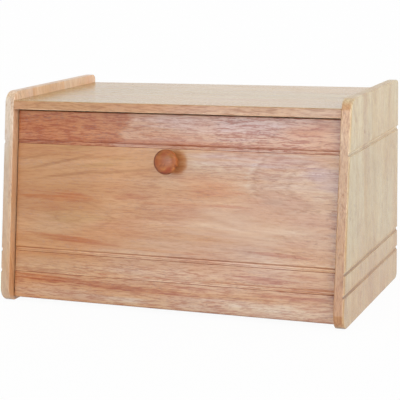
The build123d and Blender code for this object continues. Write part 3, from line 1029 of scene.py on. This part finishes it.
@dataclass(frozen=True)
class Door:
    """Drop-front door with its knob and fittings. Lengths in millimetres, the lean in degrees."""

    lean: float = 8.5
    thickness: float = 11.5
    hinge_above_foot: float = 8.0
    groove_places: Triple = (32.9, 56.6, 181.0)
    upper_strip_edge: float = 178.2
    knob_place: float = 164.1

    def build(self) -> None:
        """Dresses the door, its knob and its fittings."""
        self.dress_panel()
        self.dress_knob()
        self.dress_fittings()

    def foot(self) -> Triple:
        """Gives the middle of the foot of the door's outer face, worked out from the hinge line.

        Returns:
            Its place in millimetres.
        """
        hinge = Vector(frame["joints"][0]["pos_m"]) / MM
        turn = Matrix.Rotation(math.radians(-self.lean), 3, "X")
        return tuple(hinge - turn @ Vector((0.0, self.thickness / 2, self.hinge_above_foot)))

    def dress_panel(self) -> None:
        """Gives the panel its two strips, the figure of its face, grooves with painted light and shade, and
        painted shade on its top and foot edges.
        """
        cut = Cut(
            Grain.ACROSS_THE_FRONT, (75.0, 610.0, 20.0), self.lean, self.foot(), 112.0, 36.0, -0.10
        )
        strips = (Strip(self.upper_strip_edge, (1.05, 1.08, 1.32), (290.0, 57.0, 41.0), 0.42),)
        lower, middle, upper = self.groove_places
        # Bed tints are painted light that lifts the beds' shade; the lines are painted shade under the upper
        # lips
        cuts = (
            Groove(lower, (1.06, 1.12, 1.20), 1.1, 0.58),
            Groove(middle, (1.04, 1.06, 1.10), 1.7, 0.85),
            Groove(upper, (1.00, 1.12, 1.34), 1.2, 0.95),
        )
        fade = Fade(0, -190.0, 60.0, 0.9, 1.0)
        # Painted light that lifts the shade on the grooves' steep sides
        flank_light, foot_flank_light = (1.36, 1.44, 1.54), (1.04, 1.10, 1.18)
        grooves = Grooves(cuts, 1, 0.0, 1, fade, self.lean, flank_light, foot_flank_light)
        timber = Timber(
            fibre=(0.69, 0.45, 0.39), end_share=0.25, fibre_share=0.38, pore_share=0.32, ring_share=0.30,
        )
        facings = (
            # Painted shade on the top edge, in the gap under the shelf, and on the foot edge
            Facing(UP, (0.34, 0.18, 0.10)),
            Facing(DOWN, (0.55, 0.47, 0.42)),
        )
        finish = WoodFinish(timber, cut, strips, self.face_marks(), grooves, facings)
        dress("door_panel", finish.material("door_wood"))

    def face_marks(self) -> tuple[Mark, ...]:
        """Gives the patches of colour in the door's face, the upper strip's first, among them painted shade
        at the right end and along the foot, a painted shadow of the knob and a painted highlight under the
        top groove.

        Returns:
            The patches.
        """
        upper_strip_and_shade = (
            Mark(-140, 240, 100, 90, Tint.RUST, 0.86, soft=0.10, ragged=0.16, streaks=0.45),
            Mark(110, 200, 70, 40, Tint.PINK, 0.35, soft=0.4, ragged=0.3, streaks=0.40),
            Mark(-46, 207, 2.4, 9, Tint.PALE, 0.7, -40, ragged=0.3),
            Mark(150, 200, 40, 9, Tint.ORANGE, 0.9, 3),
            Mark(74, 196, 34, 5, Tint.ORANGE, 0.7),
            Mark(-10, 193, 40, 4, Tint.ORANGE, 0.6),
            Mark(70, 204, 140, 22, Tint.PINK, 1.0),
            Mark(30, 184, 170, 4, Tint.RED, 0.9),
            Mark(-165, 180.5, 56, 3, Tint.DARK, 0.4, ragged=0.3),
            # Painted shade at the right end, beside the right panel
            Mark(196, 200, 18, 40, Tint.PAINTED_SHADE, 0.9, soft=1.0, ragged=0.7, streaks=0.3),
        )
        diagonals = (
            Mark(-138, 158.5, 62, 2.4, Tint.DARK, 0.70, 13, ragged=0.5),
            Mark(-128, 144.5, 70, 2.6, Tint.DARK, 0.70, 8.5, ragged=0.5),
            Mark(-172, 163, 26, 1.6, Tint.DARK, 0.5, 10, ragged=0.5),
            Mark(-60, 151, 42, 2.2, Tint.DARK, 0.5, 6, ragged=0.6),
            Mark(-118, 175, 34, 5, Tint.OLIVE, 0.9, 2),
            Mark(-80, 159, 40, 6, Tint.OLIVE, 0.8, 10),
            Mark(-150, 130, 90, 90, Tint.SHADE, 1.0, ragged=0.4),
        )
        bands_and_shade = (
            Mark(-160, 118.5, 46, 4, Tint.ORANGE, 0.9, -2, ragged=1.8),
            Mark(-120, 120.5, 34, 4.6, Tint.ORANGE, 0.9, -3, ragged=1.8),
            Mark(-125, 122.5, 60, 1.4, Tint.RED, 0.9, -2, ragged=1.5),
            Mark(-62, 121.5, 14, 3, Tint.RED, 0.7, -6, ragged=1.5),
            Mark(-130, 73.5, 62, 1.5, Tint.RED, 0.7, -3, ragged=1.4),
            Mark(-130, 72, 66, 3.6, Tint.ORANGE, 0.6, -3, ragged=1.6),
            Mark(-80, 67.5, 50, 2.6, Tint.RED, 0.6, -2, ragged=1.8),
            Mark(-150, 52, 60, 3, Tint.ORANGE, 0.5, ragged=1.8),
            Mark(-165, 24.5, 46, 5, Tint.ORANGE, 0.6, -2, ragged=1.4),
            Mark(-168, 27, 40, 1.3, Tint.RUST, 0.8, -2, ragged=1.0),
            Mark(-160, 22.6, 44, 1.5, Tint.RUST, 0.8, -2, ragged=1.0),
            Mark(-150, 30, 60, 1.4, Tint.RED, 0.8, -1, ragged=1.2),
            Mark(-92, 23.2, 58, 1.1, Tint.RED, 0.9, -3, ragged=1.0),
            Mark(-82, 19.8, 60, 1.3, Tint.RED, 1.0, -3, ragged=1.0),
            Mark(-20, 20.6, 130, 1.3, Tint.RED, 0.9, -0.5, ragged=1.0),
            Mark(-10, 17.4, 120, 1.2, Tint.RED, 0.9, -0.5, ragged=1.0),
            # Painted shade: a thin dark line along the door's foot
            Mark(0, 0, 420, 1.8, Tint.PAINTED_SHADE, 0.8, soft=0.5, ragged=0.2),
            Mark(-165, 32.4, 62, 3, Tint.DARK, 0.6, ragged=0.3),
            Mark(-165, 56.4, 56, 3, Tint.DARK, 0.5, ragged=0.3),
            Mark(-70, 21.5, 140, 4.5, Tint.RED, 0.7, -1.2, streaks=0.2),
            Mark(30, 25.5, 70, 2, Tint.RED, 0.8, -1, ragged=1.5),
            Mark(130, 24.5, 75, 2.6, Tint.RED, 1.0, -0.5, ragged=1.5),
            Mark(115, 41, 34, 4.2, Tint.RED, 1.0, -3, ragged=1.5),
            Mark(160, 47, 30, 3, Tint.RED, 0.7, -3, ragged=1.5),
            Mark(70, 118, 38, 2.6, Tint.RED, 0.9, ragged=1.5),
            Mark(45, 136, 44, 16, Tint.ORANGE, 0.8, ragged=1.4),
            Mark(20, 118, 50, 6, Tint.ORANGE, 0.5, ragged=1.6),
            Mark(-42, 123, 20, 3, Tint.RED, 0.7, -3, ragged=1.5),
            Mark(-10, 65, 120, 2.6, Tint.ORANGE, 0.6, -1.5, ragged=1.6),
        )
        clouds_and_highlight = (
            Mark(130, 100, 140, 85, Tint.PINK, 0.85, ragged=0.4),
            Mark(140, 158, 60, 20, Tint.PINK, 0.7, ragged=0.5),
            Mark(50, 158, 80, 20, Tint.PINK, 1.0, ragged=0.5),
            Mark(60, 163, 70, 14, Tint.MILKY, 1.0, ragged=0.6),
            Mark(110, 170, 100, 13, Tint.LILAC, 1.0, ragged=0.5),
            Mark(182, 152, 40, 18, Tint.LILAC, 1.0, -20, ragged=0.5),
            Mark(30, 50, 150, 50, Tint.PINK, 1.0, ragged=0.4),
            Mark(60, 42, 130, 24, Tint.PALE, 0.5, ragged=0.4),
            Mark(140, 120, 90, 58, Tint.SHADE, 0.30, ragged=0.4),
            Mark(90, 4, 210, 18, Tint.MILKY, 1.0, ragged=0.5),
            Mark(110, 4, 160, 20, Tint.PINK, 1.0, ragged=0.5),
            Mark(120, 10, 120, 12, Tint.PALE, 0.9, ragged=0.6),
            Mark(-130, 8, 100, 9, Tint.PINK, 1.0, -2),
            Mark(140, 45, 70, 24, Tint.PALE, 0.5, ragged=0.5),
            Mark(-120, 97, 46, 13, Tint.OLIVE, 0.7),
            Mark(10, 96, 60, 4, Tint.PALE, 0.8),
            Mark(110, 90, 70, 14, Tint.PALE, 0.4),
            # Painted highlight on the lower lip of the top groove
            Mark(125, 175.6, 75, 1.3, Tint.MILKY, 0.8, ragged=0.5),
        )
        swirls = (
            Mark(-118, 97, 44, 17, Tint.DARK, 0.35, 180, ragged=0.3, hollow=0.12),
            Mark(-116, 97, 26, 9, Tint.DARK, 0.30, ragged=0.3, hollow=0.16),
            Mark(124, 152, 34, 26, Tint.MILKY, 0.40, 12, ragged=0.4, hollow=0.16),
            Mark(130, 152, 33, 26, Tint.DARK, 0.50, 12, ragged=0.4, hollow=0.12),
            Mark(140, 138, 30, 24, Tint.DARK, 0.20, 20, ragged=0.5, hollow=0.24),
            Mark(166, 150, 30, 24, Tint.DARK, 0.40, 24, ragged=0.4, hollow=0.16),
            Mark(176, 150, 30, 22, Tint.PALE, 0.50, 24, ragged=0.5, hollow=0.30),
            Mark(172, 132, 14, 6, Tint.MILKY, 0.5, 12, streaks=0.3),
        )
        knot_and_knob_shadow = (
            Mark(95.5, 70.6, 4, 2, Tint.DARK, 0.6, soft=0.9, ragged=0.6),
            Mark(135, 69, 46, 2.6, Tint.RED, 1.0, -2.5, ragged=1.4),
            # Painted shadow of the knob, warm where the knob hides the door's reflection
            Mark(6, 163.5, 15, 15, Tint.AMBER, 0.9, soft=0.4, ragged=0.1),
        )
        lively = (
            Mark(0, 10, 420, 58, None, soft=0.5, ragged=0.3, streaks=0.46),
            Mark(-160, 42, 70, 22, Tint.SHADE, 0.5, ragged=0.3, streaks=-0.20),
            Mark(-20, 120, 100, 50, None, ragged=0.3, streaks=0.18),
            Mark(105, 160, 115, 24, None, ragged=0.3, streaks=0.28),
            Mark(80, 100, 110, 32, None, ragged=0.3, streaks=-0.20),
            # Painted shade at the right end, beside the right panel, with livelier fibres
            Mark(196, 100, 17, 140, Tint.PAINTED_SHADE, 1.0, soft=1.0, ragged=0.9, streaks=0.8),
        )
        above = tuple(replace(mark, strip=1) for mark in upper_strip_and_shade)
        return above + diagonals + bands_and_shade + clouds_and_highlight + swirls + knot_and_knob_shadow + lively

    def dress_knob(self) -> None:
        """Gives the knob darker wood with painted shade on its rim, painted light on its right side and a
        lively crown.
        """
        timber = Timber(
            body=tone(164, 90, 44), pale=tone(184, 114, 62), blush=tone(146, 74, 36),
            ring_gap=3.0, ring_share=0.6, fibre_share=0.7, pore_share=0.3, end_share=0.0,
            gloss_roughness=0.34, dull_roughness=0.46,
        )
        cut = Cut(Grain.ACROSS_THE_FRONT, (30.0, 20.0, 60.0), self.lean, self.foot())
        crown = Facing((0.0, -1.0, 0.1), (0.94, 0.86, 0.62))
        # Painted light on the right side, lifting the shaded neck
        beside = Facing(RIGHTWARD, (1.24, 1.26, 1.14), first=0.3)
        v = self.knob_place
        marks = (
            # Painted shade on the rim
            Mark(0.8, v + 0.6, 13.4, 13.4, Tint.UMBER, 1.0, 30, ragged=0.15, hollow=0.24),
            Mark(0.8, v + 0.6, 13.6, 13.6, Tint.DARK, 0.8, 10, ragged=0.15, hollow=0.14),
            Mark(-5.4, v + 9.2, 5.6, 3.2, Tint.KHAKI, 1.0, 28, ragged=0.3),
            Mark(-0.6, v + 8.2, 5.4, 3.2, Tint.RUST, 0.9, ragged=0.4),
            Mark(7.6, v + 6.4, 5, 4, Tint.KHAKI, 0.8, -40, ragged=0.3),
            Mark(3.2, v + 4.7, 3.4, 2, Tint.KHAKI, 0.9, ragged=0.3),
            Mark(-5, v + 4.2, 3.8, 2.4, Tint.MILKY, 0.8, ragged=0.3),
            Mark(-7.8, v - 1, 3, 5.4, Tint.AMBER, 1.0, ragged=0.4),
            Mark(6.4, v - 0.6, 4.6, 3.4, Tint.PALE, 0.9, ragged=0.4),
            Mark(-1, v + 0.6, 5, 3, Tint.RED, 0.5, 30, ragged=0.6),
            Mark(-2.8, v - 3.4, 5, 1.6, Tint.UMBER, 0.8, 50, soft=1.0, ragged=0.5),
            Mark(1.2, v - 3, 4.6, 1.4, Tint.UMBER, 0.8, 62, soft=1.0, ragged=0.5),
            Mark(-5, v - 7.6, 3.6, 2, Tint.RED, 1.0, -40, ragged=0.3),
            Mark(5.7, v - 8, 5.8, 3.8, Tint.BRICK, 1.0, 28, ragged=0.3),
            # Painted highlight: a thin pale line on the crown
            Mark(1.2, v - 7.8, 3.6, 1, Tint.MILKY, 1.0, 40, ragged=0.2),
            # Painted shade at the foot of the rim
            Mark(0, v - 11.4, 5.2, 2, Tint.BRICK, 1.0, ragged=0.3),
            Mark(12.4, v - 4.4, 1.4, 2.6, Tint.UMBER, 1.0, ragged=0.2),
        )
        dress("door_knob", WoodFinish(timber, cut, (), marks, facings=(crown, beside)).material("knob_wood"))

    def dress_fittings(self) -> None:
        """Gives the door's screws, strike discs and bushes their finishes."""
        screw_steel = MetalFinish(tone(196, 190, 178)).material("door_screw_steel")
        for node in ("knob_screw", "strike_disc_screws"):
            dress(node, screw_steel)
        disc_steel = MetalFinish(tone(92, 80, 70), 0.34).material("disc_steel")
        bush_plastic = PlasticFinish(tone(92, 58, 36), tone(70, 44, 28)).material("bush_plastic")
        for hand in ("left", "right"):
            dress(f"{hand}_strike_disc", disc_steel)
            dress(f"{hand}_hinge_bush", bush_plastic)


def main() -> None:
    """Builds the studio and the bin's sub-assemblies in order."""
    logging.basicConfig(level=logging.INFO, format="%(message)s")
    for maker in (Studio(), Carcass(), Door()):
        LOG.info("building %s", type(maker).__name__)
        maker.build()


if __name__ == "__main__":
    main()
